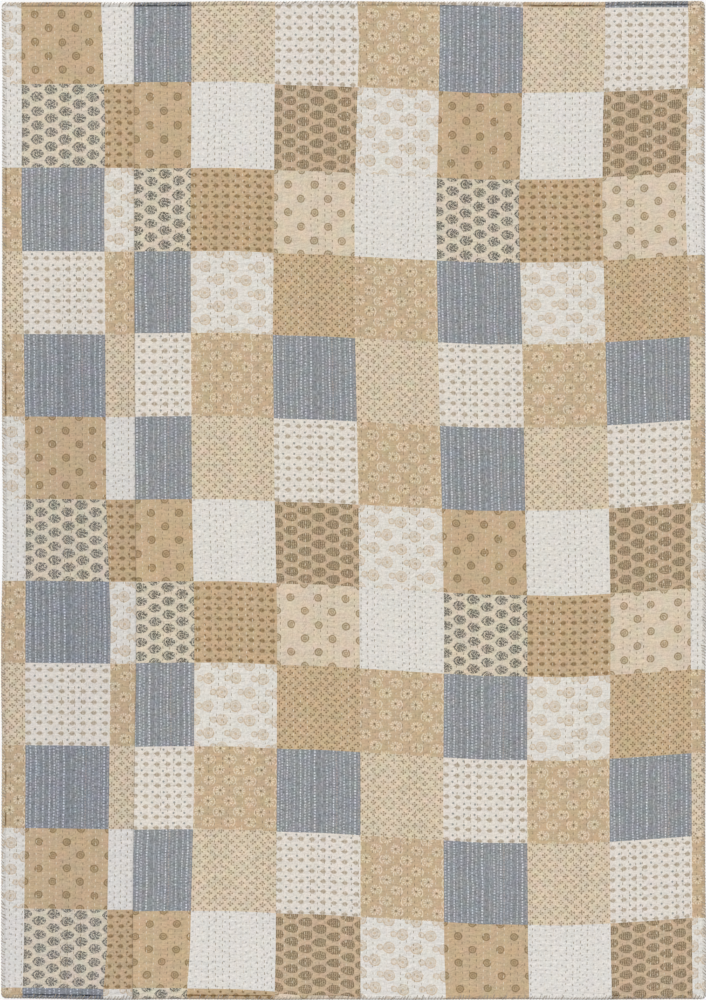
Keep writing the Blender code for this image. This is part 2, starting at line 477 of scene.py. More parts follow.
def quiltedCloth(panel):
    # One length of cloth before its relief: a sheet whose mesh follows the stitch rows
    # and is cut along the borders of the printed squares
    columns, rows = clothGrid(panel)
    across, acrossFlat, ringAcross = (part[None, :] + 0 * rows[:, :1] for part in columns.T)
    down, downFlat, ringDown = (part[:, None] + 0 * columns[:, 0][None, :] for part in rows.T)
    atFoot = down > quilt["length"] / 2
    endInset = np.where(atFoot, quilt["length"] - down, down)

    # Round corners: there the rings of the roll become quarter circles
    a = ringCount - ringAcross
    b = ringCount - ringDown
    corner = (a > 0) & (b > 0)
    ring = np.minimum(ringAcross, ringDown).astype(int)
    radius = quilt["cornerRadius"] - insetOf[ring]
    reach = np.where(corner, np.hypot(a, b), 1.0)
    across = np.where(corner, quilt["cornerRadius"] - radius * a / reach, across)
    endInset = np.where(corner, quilt["cornerRadius"] - radius * b / reach, endInset)
    down = np.where(atFoot, quilt["length"] - endInset, endInset)

    x, y = panel.place(across, down)
    height = heightOf[ring]
    # Past the roll the seam's fold sets the height, and in the roll the lower of the two does
    farUp = 1.0
    seamHeights = np.full(len(columns), farUp)
    seamHeights[-len(seamFold):] = [fold[1] for fold in reversed(seamFold)]
    height = np.minimum(height + farUp * ((ring == ringCount) & (seamHeights < farUp)), seamHeights)
    inset = np.minimum(np.minimum(across, endInset), 1.0)
    fromSeam = panel.width - across
    rowNumber = (across - quilt["rowToEdge"]) / panel.pitch
    nearest = np.clip(np.rint(rowNumber), 0, panel.rows - 1).astype(int)
    stitchNumber = (down - quilt["firstStitch"]) / quilt["stitchPitch"] + panel.stitchPhase[nearest]
    free = easeIn((inset - insetOf[-1]) / quilt["rollEase"])
    free = free * easeIn((fromSeam - quilt["seamStart"]) / quilt["seamEase"])
    free = np.where(ring < ringCount, 0.0, free)

    flatX = (acrossFlat - quilt["width"] / 2) * panel.sign
    flatY = quilt["length"] / 2 - downFlat
    shiftX = x - (across - quilt["width"] / 2) * panel.sign
    u, v = printPlace(panel.node, 1000 * (flatX + shiftX), 1000 * flatY)
    values = {
        "printU": u, "printV": v, "realX": x, "realY": y, "height": height, "free": free,
        "rowNumber": rowNumber, "stitchNumber": stitchNumber, "inset": inset,
        # the darkness of the painted shadow in the groove beside the roll, for the material
        "fold": grooveShadowAt(1000 * x, 1000 * y), "bakeU": acrossFlat, "bakeV": downFlat,
        "narrow": panel.onLeft + 0 * x,
        "lot": easeIn((quilt["lotStart"] - y) / quilt["lotFade"]) * panel.onLeft,
    }

    mesh = bmesh.new()
    bmesh.ops.create_grid(mesh, x_segments=len(columns) - 1, y_segments=len(rows) - 1, size=0.5)
    places = np.array([vert.co for vert in mesh.verts])
    j = np.rint((places[:, 0] + 0.5) * (len(columns) - 1)).astype(int)
    i = np.rint((places[:, 1] + 0.5) * (len(rows) - 1)).astype(int)
    layers = {name: mesh.verts.layers.float.new(name) for name in values}
    for name, table in values.items():
        layer = layers[name]
        for vert, value in zip(mesh.verts, table[i, j].tolist()):
            vert[layer] = value
    for vert in mesh.verts:
        vert.co = (vert[layers["printU"]], vert[layers["printV"]], 0.0)
    cutAlongBorders(mesh, u, v)
    for vert in mesh.verts:
        vert.co = (vert[layers["realX"]], vert[layers["realY"]], vert[layers["height"]])
    print(panel.node, "grid", len(mesh.verts), "points")
    return mesh, layers


def cutAlongBorders(mesh, u, v):
    # Cuts the mesh, which lies in print squares here, along each whole number
    snap = 1e-4
    for normal, span in ((Vector((1, 0, 0)), u), (Vector((0, 1, 0)), v)):
        for border in range(math.ceil(span.min()), math.floor(span.max()) + 1):
            cut = {"plane_co": normal * border, "plane_no": normal, "dist": snap}
            bmesh.ops.bisect_plane(mesh, geom=[*mesh.verts, *mesh.edges, *mesh.faces], **cut)


bakePicture = {
    # Where the cloth lies on the picture it is baked on, as a start and a size
    "face": (0.005, 0.9),
    "underside": (0.915, 0.08),
    "down": (0.005, 0.99),
    "spareAcross": 0.004,           # metres left free beside the cloth
    "spareDown": 0.008,
}


def finishCloth(panel, mesh, layers):
    # Closes the underside, gives each face its print, and writes the maps that the materials read
    spareAcross, spareDown = bakePicture["spareAcross"], bakePicture["spareDown"]
    startDown, long = bakePicture["down"]

    def bakePlace(vert, side):
        start, wide = bakePicture[side]
        u = start + wide * (vert[layers["bakeU"]] + spareAcross) / (panel.width + 2 * spareAcross)
        v = startDown + long * (vert[layers["bakeV"]] + spareDown) / (quilt["length"] + 2 * spareDown)
        return u, v

    mesh.faces.ensure_lookup_table()
    kindLayer = mesh.faces.layers.int.new("print")
    maps = {name: mesh.loops.layers.uv.new(name) for name in ("squares", "quilting", "OFBake")}
    for face in mesh.faces:
        middle = [sum(v[layers[name]] for v in face.verts) / len(face.verts) for name in ("printU", "printV")]
        face[kindLayer] = 1 + "".join(prints).index(letterAt(panel.node, *middle))
        for loop in face.loops:
            vert = loop.vert
            loop[maps["squares"]].uv = (vert[layers["printU"]], vert[layers["printV"]])
            loop[maps["quilting"]].uv = (vert[layers["rowNumber"]], vert[layers["stitchNumber"]])
            loop[maps["OFBake"]].uv = bakePlace(vert, "face")
    rim = [edge for edge in mesh.edges if edge.is_boundary]
    for face in bmesh.ops.contextual_create(mesh, geom=rim)["faces"]:
        face[kindLayer] = 0
        for loop in face.loops:
            loop[maps["OFBake"]].uv = bakePlace(loop.vert, "underside")
    bmesh.ops.recalc_face_normals(mesh, faces=mesh.faces)
    data = bpy.data.meshes.new(panel.node + "Cloth")
    mesh.to_mesh(data)
    mesh.free()
    for name in ("printU", "printV", "realX", "realY", "bakeU", "bakeV", "height"):
        data.attributes.remove(data.attributes[name])
    return addObject(panel.node + "Cloth", data)


# The prints, in millimetres

def staggered(x, y, pitch, start, shift, byColumn=False):
    # The place within one cell of two shifted lattices. The motif's middle is at 0, 0. Every
    # second row of cells, or column of cells, is shifted. Also returns 0 or 1 for which it is.
    if byColumn:
        y, x, odd = staggered(y, x, pitch[::-1], start[::-1], shift)
        return x, y, odd
    step = pitch[1] / 2
    count = (y - start[1]) / step + 0.5
    whole = count.math("FLOOR")
    odd = whole.math("FLOORED_MODULO", 2.0)
    dy = (count - whole - 0.5) * step
    dx = wrap(x - start[0] - odd * shift, pitch[0])
    return dx, dy, odd


def wrap(value, pitch):
    return (value + pitch / 2).math("FLOORED_MODULO", pitch) - pitch / 2


def disc(x, y, radius, soft=0.7):
    return fade(hypotenuse(x, y), radius + soft, radius - soft)


def band(value, middle, half, soft=0.7):
    # 1 where the value is within a half width of the middle
    return fade((value - middle).size(), half + soft, half - soft)


def leaf(x, y, length, height, tip, end, soft=0.8):
    # A drop that points to -x: its half height at each place along it is a smooth curve
    share = (x / length + 0.5).limited()
    peak = (tip / (tip + end)) ** tip * (end / (tip + end)) ** end
    half = share.math("POWER", tip) * (1.0 - share).math("POWER", end) * (height / 2 / peak)
    inside = fade(y.size() - half, soft / 2, -soft)
    return inside * fade(x.size(), length / 2 + 0.3, length / 2 - 0.3)


def smallDots(cloth, x, y):
    dx, dy, _ = staggered(x, y, (21.0, 21.3), (4.1, 1.2), 10.5)
    return [(disc(dx, dy, 1.8) * 0.85, (174, 171, 168))]


def ringedSpots(dark, fill, light, pitch, start):
    def draw(cloth, x, y):
        dx, dy, _ = staggered(x, y, pitch, start, pitch[0] / 2)
        away = hypotenuse(dx, dy)
        broken = (flatNoise(cloth, x * 0.31, y * 0.31) * 3.0 - 0.95).limited()
        worn = (flatNoise(cloth, x * 0.22 + 40.0, y * 0.22) * 3.0 - 0.95).limited()
        body = fade(away, 8.9, 7.7)
        rim = band(away, 6.9, 1.1) * (1.1 - worn * 0.4)
        innerRing = band(away, 2.9, 0.9) * (1.05 - broken * 0.9)
        pale = band(away, 4.8, 0.8) * broken
        heart = fade(away, 1.6, 0.4) * worn
        dim = rim.most(innerRing).limited()
        return [(body * 0.9, fill), (dim, dark), ((pale + heart) * 0.75, light)]
    return draw


def blossoms(ink, start):
    def draw(cloth, x, y):
        dx, dy, _ = staggered(x, y, (20.8, 21.3), start, 10.4)
        sides = disc(dx.size() - 3.9, dy, 1.7)
        ends = disc(dx, dy.size() - 3.6, 1.6)
        heart = disc(dx, dy, 1.3) * 0.55
        return [((sides + ends + heart).limited(), ink)]
    return draw


def leavesAndDots(leafInk, spineInk, dotInk, pitch, start, dotShift):
    def draw(cloth, x, y):
        dx = wrap(x - start[0], pitch[0])
        dy = wrap(y - start[1], pitch[1])
        kite = fade(hypotenuse((dx - 1.0) / 5.2, dy / 4.8), 1.12, 0.82)
        lens = fade(dx.size() / 8.4 + dy.size() / 3.1, 1.08, 0.78)
        cores = disc(dx.size() - 2.9, dy, 1.9, 1.0)
        px = wrap(x - start[0] - dotShift[0], pitch[0])
        py = wrap(y - start[1] - dotShift[1], pitch[1])
        return [(kite.most(lens) * 0.88, leafInk), (cores * 0.82, spineInk), (disc(px, py, 2.2), dotInk)]
    return draw


def bigLeaves(cloth, x, y):
    dx, dy, _ = staggered(x, y, (55.7, 27.7), (29.6, 2.0), 14.0, byColumn=True)
    body = leaf(dx, dy, 27.5, 19.2, 0.62, 0.36)
    speck = flatNoise(cloth, x * 0.42, y * 0.42, 2.0) - 0.5
    upright = (dx * 1.65 + dy.size() * 0.2).wave()
    level = (dy * 1.75).math("COSINE")
    basket = upright * 0.5 + level * 0.16 + speck * 3.6
    darker = fade(basket, 0.0, 0.6)
    paler = fade(basket, -0.1, -0.65) * fade(leaf(dx, dy, 26.0, 17.5, 0.62, 0.36), 0.2, 0.8)
    return [
        (body * 0.93, (153, 131, 102)),
        (darker * body * 0.8, (107, 91, 65)),
        (paler * 0.92, (195, 176, 148)),
    ]


def roundFlowers(cloth, x, y):
    dx, dy, _ = staggered(x, y, (55.7, 28.3), (31.6, -2.3), 14.0, byColumn=True)
    away = hypotenuse(dx / 12.9, dy / 9.7)
    oval = hypotenuse(dx / 1.2, dy)
    angle = dy.math("ARCTAN2", dx + 1.0)
    speck = flatNoise(cloth, x * 0.56, y * 0.56)
    petals = fade(away, 1.02, 0.92) * fade(dx, -3.4, -2.0)
    core = fade(oval, 6.3, 5.5)
    crescent = band(oval, 8.7, 1.5, 0.5) * fade(dx, -1.0, -2.4)
    tip = disc(dx + 12.0, dy, 1.8)
    gaps = fade((angle * 8.0).math("COSINE"), -0.55, -1.0) * fade(oval, 5.4, 6.6) * fade(dx, -1.6, 0.0)
    bar = band(dy - dx * 0.36, 0.2, 0.4) * fade(dx, 0.2, 1.2) * fade(dx, 7.2, 6.0)
    flecks = fade(speck, 0.51, 0.58) * 0.95
    paper = (gaps + bar + flecks).limited() * fade(away, 1.1, 0.95)
    ink = (petals + core + crescent + tip).limited()
    return [
        (ink * 0.98, (75, 73, 65)),
        (ink * attribute(cloth, "narrow") * 0.98, (97, 94, 88)),
        (paper * ink, (213, 204, 187)),
    ]


def roundels(cloth, x, y):
    dx, dy, _ = staggered(x, y, (55.2, 54.8), (28.6, 30.9), 27.6)
    ragged = (flatNoise(cloth, x * 0.30, y * 0.30, 2.0) - 0.5) * 4.5
    away = hypotenuse(dx, dy) + ragged
    lumpAway = hypotenuse(dx + 17.6, dy + 0.4) + ragged
    blot = (flatNoise(cloth, x * 0.22, y * 0.22) * 2.4 - 0.5).limited()
    whole = fade(away, 12.6, 10.6).most(fade(lumpAway, 7.2, 5.4)) * 0.33
    rim = band(away, 10.5, 1.1, 1.0) * (0.6 + fade(dy, -6.0, 8.0) * 0.5)
    lumpRim = band(lumpAway, 5.4, 1.0, 1.1) * fade(away, 11.0, 12.5)
    inner = band(away, 6.4, 0.8, 1.0) * 0.4
    heart = disc(dx, dy, 2.8, 1.4) * 0.9
    share = (whole + rim * 0.68 + lumpRim * 0.6 + inner + heart).limited()
    return [(share * (blot * 0.6 + 0.58), (202, 182, 156))]


def dottedPetals(cloth, x, y):
    dx, dy, odd = staggered(x, y, (41.2, 42.0), (28.9, 24.3), -17.3)
    away = hypotenuse(dx, dy - 0.6)
    angle = dy.math("ARCTAN2", dx)
    speck = flatNoise(cloth, x * 0.4, y * 0.4) * 1.7 + 0.05
    strokes = (fade((angle * 10.0).wave(), -0.3, 0.5) * 0.8 + 0.15) * speck.limited()
    petals = fade(away, 10.4, 8.8) * fade(away, 2.6, 4.4) * strokes
    edgeX = dx * (1.0 - odd * 2.0) - 4.5
    crescent = band(hypotenuse(edgeX, dy - 1.4), 9.0, 1.1) * fade(edgeX, 2.8, 4.8)
    eye = disc(dx, dy, 2.0)
    return [
        (petals, (231, 215, 190)),
        (crescent * speck.limited() * 0.8, (236, 221, 197)),
        (eye * 0.85, (120, 104, 78)),
    ]


dottedLines = (
    # (place across the square, kind, strength)
    (3.3, "dots", 0.6), (9.8, "dots", 0.75), (20.5, "dashes", 0.9), (26.0, "dots", 0.3), (35.2, "dots", 0.7),
    (47.6, "dashes", 0.9), (56.9, "dots", 0.8), (64.9, "dots", 0.6), (76.2, "dots", 1.0), (90.1, "line", 0.4),
    (99.9, "dots", 0.7), (106.6, "dots", 0.35), (113.4, "dashes", 0.95), (119.6, "rust", 0.45),
    (126.6, "dots", 0.4), (134.2, "dots", 0.7), (146.2, "dashes", 0.75), (156.0, "dots", 0.9),
    (163.1, "rust", 0.4),
)


def dottedStripes(cloth, x, y):
    # Printed rows of white dots, dashes and lines on chambray blue
    rowShift = 2.9
    inks = {}
    for number, (across, kind, strength) in enumerate(dottedLines):
        away = (x - across).size()
        shifted = y + number * rowShift
        if kind == "line":
            mark = fade(away, 1.3, 0.3) * fade(wrap(shifted, 31.0).size(), 11.5, 10.0) * strength
        elif kind == "dashes":
            beads = fade(wrap(shifted, 5.3).size(), 1.9, 0.9) * 0.92 + 0.08
            mark = fade(away, 1.7, 0.6) * beads * strength
        else:
            mark = disc(away, wrap(shifted, 5.8), 1.6) * strength
        ink = "rust" if kind == "rust" else "white"
        inks[ink] = inks[ink] + mark if ink in inks else mark
    return [(inks["white"].limited(), (215, 218, 223)), (inks["rust"].limited(), (206, 192, 184))]


# Each print: its letter, the cloth's own colour, and the function that draws it
prints = {
    "B": ("dottedStripe", (141, 144, 148), dottedStripes),
    "S": ("paleBlossom", (218, 202, 178), blossoms((154, 134, 107), (4.5, 12.8))),
    "T": ("tanBlossom", (203, 178, 144), blossoms((137, 111, 76), (5.4, 13.6))),
    "M": ("leafOnWhite", (226, 219, 210), leavesAndDots(
        (188, 174, 155), (166, 152, 132), (152, 153, 149), (21.6, 21.3), (5.5, 13.9), (13.3, 13.0))),
    "N": ("leafOnTan", (198, 172, 138), leavesAndDots(
        (154, 127, 90), (131, 105, 69), (137, 110, 73), (21.5, 21.05), (6.3, 13.9), (14.3, 12.4))),
    "F": ("dottedPetal", (197, 173, 141), dottedPetals),
    "D": ("spotOnTan", (199, 174, 141), ringedSpots(
        (143, 119, 85), (169, 145, 110), (192, 168, 134), (55.7, 55.2), (27.9, 27.8))),
    "L": ("spotOnCream", (217, 201, 179), ringedSpots(
        (155, 134, 105), (182, 162, 130), (212, 198, 173), (55.5, 55.6), (28.2, 27.0))),
    "W": ("smallDotOnWhite", (224, 220, 214), smallDots),
    "P": ("bigLeaf", (200, 176, 147), bigLeaves),
    "R": ("roundelOnWhite", (224, 220, 213), roundels),
    "C": ("roundFlower", (216, 204, 184), roundFlowers),
}

clothFinish = {
    "stray": 5.0,                   # how far the print strays, in millimetres
    "frayed": 1.6,                  # how far its outlines do
    "rollEnds": 8.6,                # millimetres in from the quilt's edge
    "threadPitch": 0.00062,         # of the weave
    "weaveDepth": 0.00003,
    "stitchDimple": 0.00030,
    "pucker": 0.0016,
    "slub": 0.34,                   # share by which single threads are lighter or darker
    "grain": 0.54,
    "tint": (0.25, 0.125, 0.25),    # share by which the colour drifts, by channel
    "narrowLot": (0.060, 0.053, 0.028),     # how much darker the narrow cloth is towards its foot, by channel
    "middle": (0.998, 0.997, 0.985),        # the light that the quilt's middle throws back, by channel
    "paler": (0.008, 0.012, 0.033),         # and how much more its two ends do
    "roughness": 0.88,
    "surface": {"Specular IOR Level": 0.18, "Sheen Weight": 0.08, "Sheen Roughness": 0.5},
}

grounds = {
    # How strongly each of these shows on tan, white and blue cloth
    "mottle": (1.0, 0.85, 2.6),
    # The next three rows are painted shade: a shadow in the groove inside the roll, shade along creases, and
    # shade on the roll
    "fold": (0.95, 0.4, 0.95),
    "crease": (0.14, 0.04, 0.14),
    "rolled": (0.09, 0.09, 0.28),
    "tint": (1.0, 0.35, 1.0),
    "lot": (1.0, 1.0, 2.0),
    "pucker": (1.15, 1.0, 1.15),
}


def weave(tree, place):
    # Plain weave: warp and weft take turns on top. Returns its height, 0 to 1.
    x, y, _ = parts(tree, place)
    turn = math.tau / clothFinish["threadPitch"] / 2
    warp = (x * turn).wave()
    weft = (y * turn).wave()
    return (warp * weft) * 0.5 + 0.5


def puckers(tree, rowNumber, stitchNumber, place):
    # Height of the crinkles between the stitches, -1 to 1: short along the rows, long across
    x, y, _ = parts(tree, place)
    fine = flatNoise(tree, rowNumber * 0.75, stitchNumber * 1.7, 1.5, 0.6) * 2.0 - 1.0
    loose = flatNoise(tree, x * 70.0, y * 150.0, 2.0, 0.65) * 2.0 - 1.0
    creases = flatNoise(tree, x * 14.0, y * 88.0) * 2.0 - 1.0
    return fine * 0.6 + loose * 0.5 + creases * 0.35


def printedCotton(name, colour, draw):
    # Cotton of one colour with the inks of its print on it, which the cloth takes unevenly
    material, tree, shader = newMaterial(name, clothFinish["surface"])
    place = placeOn(tree)
    kind = 2 if name == "dottedStripe" else 1 if name.endswith("White") else 0
    ground = {label: shares[kind] for label, shares in grounds.items()}
    squares, quilting = (
        parts(tree, addNode(tree, "ShaderNodeUVMap", uv_map=label).outputs["UV"])
        for label in ("squares", "quilting")
    )
    strays = zip(squares[:2], drifts(tree, place, 16.0, 1.0), drifts(tree, place, 240.0, 1.0))
    inSquare = [
        (count - count.math("FLOOR")) * patchSize
        + (far - 0.5) * clothFinish["stray"] + (near - 0.5) * clothFinish["frayed"]
        for count, far, near in strays
    ]
    took = 0.50 + noise(tree, place, 420.0, 2.0, 0.6) * 0.65 + noise(tree, place, 34.0, 1.0) * 0.34
    took = took.limited()
    dyed = dye(*colour)
    for share, ink in draw(tree, *inSquare):
        dyed = blend(tree, share * took, dyed, dye(*ink))

    # The cloth's own unevenness, with painted shade on it: shade along creases, shade on the roll, and a
    # shadow in the groove just inside the roll
    x, y, _ = parts(tree, place)
    weft = flatNoise(tree, x * 110.0, y * 520.0, 1.5) - 0.5
    warp = flatNoise(tree, x * 520.0, y * 110.0, 1.5) - 0.5
    grain = noise(tree, place, 300.0, 3.0, 0.75) - 0.5
    cloud = noise(tree, place, 9.0) - 0.5
    # Painted shade along creases, in lighter and darker bands
    creaseShading = flatNoise(tree, x * 20.0, y * 80.0, 2.0) - 0.5
    mottle = (weft + warp) * clothFinish["slub"] + grain * clothFinish["grain"]
    inset = attribute(tree, "inset") * 1000.0
    # Painted shade on the roll, where the mottle is also made stronger
    rolled = fade(inset, clothFinish["rollEnds"], clothFinish["rollEnds"] - 2.5)
    # Painted shadow in the groove just inside the roll
    grooveDarkness = attribute(tree, "fold") * (noise(tree, place, 70.0) * 1.4 + 0.3) * ground["fold"]
    grooveShadow = band(inset, clothFinish["rollEnds"] - 1.0, 1.2, 1.3) * grooveDarkness
    uneven = mottle * ground["mottle"] * (1.0 + rolled) + cloud * 0.05 + creaseShading * ground["crease"]
    mottleAndShade = (1.0 + uneven) * (1.0 - rolled * ground["rolled"])
    lot = attribute(tree, "lot")
    tones = []
    for channel, part in enumerate(drifts(tree, place, 36.0, 2.0)):
        drift = (part - 0.5) * (clothFinish["tint"][channel] * ground["tint"]) + 1.0
        # How much the painted groove shadow darkens this channel
        depth = 0.45 + (1 - colour[channel] / 255) * 0.85
        # Lighter and bluer towards the head and foot
        paleTowardsEnds = y * y * clothFinish["paler"][channel] + clothFinish["middle"][channel]
        # Darker towards the narrow cloth's foot
        darker = 1.0 - lot * (clothFinish["narrowLot"][channel] * ground["lot"])
        tones.append(mottleAndShade * drift * (1.0 - grooveShadow * depth) * paleTowardsEnds * darker)

    rowNumber, stitchNumber, _ = quilting
    rowAway = (rowNumber - (rowNumber + 0.5).math("FLOOR")).size()
    nearRow = fade(rowAway, 0.34, 0.0)
    beat = (stitchNumber * math.tau).math("COSINE") * 0.5 + 0.5
    dimple = nearRow * (beat * 0.6 + 0.4) * clothFinish["stitchDimple"]
    crinkle = puckers(tree, rowNumber, stitchNumber, place) * (1.0 - nearRow * 0.6)
    height = crinkle * (clothFinish["pucker"] * ground["pucker"]) - dimple
    height = height + weave(tree, place) * clothFinish["weaveDepth"]
    cover(tree, shader, dyed, vector(tree, *tones), height)
    rough = (noise(tree, place, 140.0) - 0.5) * 0.12 + clothFinish["roughness"]
    feed(tree, shader.inputs["Roughness"], rough)
    return material


backing = {
    "rowPitch": 0.01355,
    "stagger": 0.0047,              # from one row's stitches to the next row's
    "cotton": (219, 213, 203),
    "thread": (170, 152, 128),
    "stitchHeight": 0.0003,
    "furrowDepth": 0.0005,
    "surface": {"Roughness": 0.9, "Specular IOR Level": 0.18},
}


def plainBacking():
    # The underside: plain pale cotton, with the back of the running stitches
    material, tree, shader = newMaterial("plainBacking", backing["surface"])
    place = placeOn(tree)
    x, y, _ = parts(tree, place)
    row = wrap(x, backing["rowPitch"]).size()
    number = (x / backing["rowPitch"] + 0.5).math("FLOOR")
    stitch = wrap(y + number * backing["stagger"], quilt["stitchPitch"]).size()
    mark = fade(row, 0.0008, 0.0003) * fade(stitch, 0.0032, 0.0024)
    mottle = noise(tree, place, 300.0, 3.0, 0.7) * 0.10 + 0.95
    colour = blend(tree, mark * 0.7, dye(*backing["cotton"]), dye(*backing["thread"]))
    height = weave(tree, place) * clothFinish["weaveDepth"] + mark * backing["stitchHeight"]
    height = height - fade(row, 0.004, 0.0) * backing["furrowDepth"]
    cover(tree, shader, colour, vector(tree, mottle, mottle, mottle), height)
    return material


threads = {
    # Each thread's own colour, and the colours it has taken: each of these by the name of the
    # attribute that says where
    "whiteThread": ((232, 219, 196), {"onBlue": (190, 194, 197), "onWhite": (222, 212, 198)}),
    "tanThread": ((146, 127, 101), {"onBlue": (126, 130, 135), "onWhite": (158, 143, 120)}),
    "edgeThread": ((176, 165, 150), {}),
}
twist = {"turns": 9000.0, "depth": 0.00006}


def thread(name, scale=45.0, uneven=0.3):
    # Two-strand cotton thread, with its twist as a fine slanted bump
    colour, taken = threads[name]
    material, tree, shader = newMaterial(name, {"Roughness": 0.7, "Sheen Weight": 0.1})
    place = placeOn(tree)
    x, y, _ = parts(tree, place)
    tone = noise(tree, place, scale, 2.0, 0.6) * uneven + (1.0 - uneven / 2)
    own = dye(*colour)
    for where, other in taken.items():
        own = blend(tree, attribute(tree, where), own, dye(*other))
    height = ((x + y) * twist["turns"]).wave() * twist["depth"]
    cover(tree, shader, own, vector(tree, tone, tone, tone), height)
    return material


# The cloth's relief

relief = {
    "Furrow": 0.0020,
    "Crest": 0.0029,
    "Pucker": 0.0007,
    "Swell": 0.0005,
    "Lump": 0.0008,                 # of the rolled edge
}


def reliefTree(materials):
    # Raises the cloth between the rows of stitches, and gives each square its printed cotton
    tree, entry, sizes, leave = newTree("quiltRelief", relief)
    rowNumber = readAttribute(tree, "rowNumber")
    stitchNumber = readAttribute(tree, "stitchNumber")
    free = readAttribute(tree, "free")
    inset = readAttribute(tree, "inset")
    position = tree.nodes.new("GeometryNodeInputPosition").outputs[0]
    x, y, z = parts(tree, position)
    share = rowNumber - rowNumber.math("FLOOR")
    crown = (share * math.pi).wave().most(0.0).math("POWER", 0.6)
    height = sizes["Furrow"] + (sizes["Crest"] - sizes["Furrow"]) * crown
    crinkle = flatNoise(tree, rowNumber * 0.55, stitchNumber * 0.62) * 2.0 - 1.0
    loose = flatNoise(tree, x * 34.0, y * 58.0) * 2.0 - 1.0
    swell = flatNoise(tree, x * 5.0, y * 3.0) * 2.0 - 1.0
    height = height + (crinkle + loose * 0.8) * sizes["Pucker"] * (crown * 0.75 + 0.25)
    height = height + swell * sizes["Swell"]
    lumps = flatNoise(tree, x * 120.0, y * 120.0) - 0.5
    onRoll = fade(inset, 0.0085, 0.006) * fade(z, 0.0012, 0.003)
    lift = (height - z) * free + lumps * onRoll * sizes["Lump"]
    lifted = through(tree, entry["Geometry"], "SetPosition", Offset=vector(tree, 0.0, 0.0, lift))
    carried = through(tree, lifted, "RealizeInstances")
    printed = readAttribute(tree, "print", "INT")
    for number, material in enumerate(materials):
        chosen = addNode(tree, "FunctionNodeCompare", data_type="INT", operation="EQUAL")
        numbers = [s for s in chosen.inputs if s.enabled]
        feed(tree, numbers[0], printed)
        feed(tree, numbers[1], number)
        carried = through(tree, carried, "SetMaterial", Selection=chosen.outputs[0], Material=material)
    tree.links.new(carried, leave)
    return tree


# What both kinds of stitches share

def scatter(tree, seed, low, high, salt):
    # A random number for each point; each salt is a draw of its own
    node = addNode(tree, "FunctionNodeRandomValue", data_type="FLOAT")
    floats = [s for s in node.inputs if s.enabled]
    feed(tree, floats[0], low)
    feed(tree, floats[1], high)
    number = addNode(tree, "ShaderNodeMath", {0: seed, 1: salt}, operation="ADD")
    feed(tree, node.inputs["Seed"], number.outputs[0])
    return Term(tree, next(s for s in node.outputs if s.enabled))


def sewOn(tree, points, where, stitch, angle, scale, material, space="GLOBAL"):
    # Lays a stitch on each point, turned by an angle from the direction of the line
    turn = addNode(tree, "FunctionNodeAlignRotationToVector", axis="X", pivot_axis="Z")
    feed(tree, turn.inputs["Vector"], points.outputs["Tangent"])
    spin = addNode(tree, "FunctionNodeAxisAngleToRotation", {"Axis": (0, 0, 1), "Angle": angle})
    entries = {"Rotation": turn.outputs[0], "Rotate By": spin.outputs[0]}
    turned = addNode(tree, "FunctionNodeRotateRotation", entries, rotation_space=space)
    entries = {"Points": where, "Instance": stitch, "Rotation": turned.outputs[0], "Scale": scale}
    placed = addNode(tree, "GeometryNodeInstanceOnPoints", entries)
    real = through(tree, placed.outputs[0], "RealizeInstances")
    return through(tree, through(tree, real, "SetShadeSmooth"), "SetMaterial", Material=material)


# Running stitches

runningStitch = {
    "Length": 0.0071,
    "Width": 0.0021,
    "Height": 0.0010,
    "Uneven": 0.22,                 # share by which stitches differ in length
    "Stray": 0.0008,
    "Turn": 0.09,                   # radians
    "Sink": 0.00015,
}
castFrom = 0.02                     # the height from which the stitches are let down on to the cloth
castReach = 0.05


def stitchTree(material, clothObject):
    # Lays one stitch on each point of the rows' lines, on the cloth's surface
    tree, entry, sizes, leave = newTree("runningStitches_" + material.name, runningStitch, Seed="Int")
    seed = entry["Seed"]
    line = addNode(tree, "GeometryNodeMeshToCurve", {"Mesh": entry["Geometry"]})
    points = addNode(tree, "GeometryNodeCurveToPoints", {"Curve": line.outputs[0]}, mode="EVALUATED")
    cloth = addNode(tree, "GeometryNodeObjectInfo", {"Object": clothObject}, transform_space="ORIGINAL")
    x, y, _ = parts(tree, tree.nodes.new("GeometryNodeInputPosition").outputs[0])
    cast = addNode(tree, "GeometryNodeRaycast", {
        "Target Geometry": cloth.outputs["Geometry"], "Source Position": vector(tree, x, y, castFrom),
        "Ray Direction": (0, 0, -1), "Ray Length": castReach,
    })
    _, _, surface = parts(tree, cast.outputs["Hit Position"])
    aside = scatter(tree, seed, -1.0, 1.0, 1.0) * sizes["Stray"] * 0.6
    ahead = scatter(tree, seed, -1.0, 1.0, 2.0) * sizes["Stray"] * 1.5
    shifted = vector(tree, x + aside, y + ahead, surface - sizes["Sink"])
    laid = through(tree, points.outputs["Points"], "SetPosition", Position=shifted)

    ball = addNode(tree, "GeometryNodeMeshUVSphere", {"Segments": 6, "Rings": 3, "Radius": 0.5})
    lying = through(tree, ball.outputs["Mesh"], "Transform", Rotation=(0, math.pi / 2, 0))
    angle = scatter(tree, seed, -1.0, 1.0, 3.0) * sizes["Turn"]
    longer = scatter(tree, seed, -1.0, 1.0, 4.0) * sizes["Uneven"] + 1.0
    fatter = scatter(tree, seed, 0.85, 1.15, 5.0)
    scale = vector(tree, sizes["Length"] * longer, sizes["Width"] * fatter, sizes["Height"] * fatter)
    feed(tree, leave, sewOn(tree, points, laid, lying, angle, scale, material))
    return tree


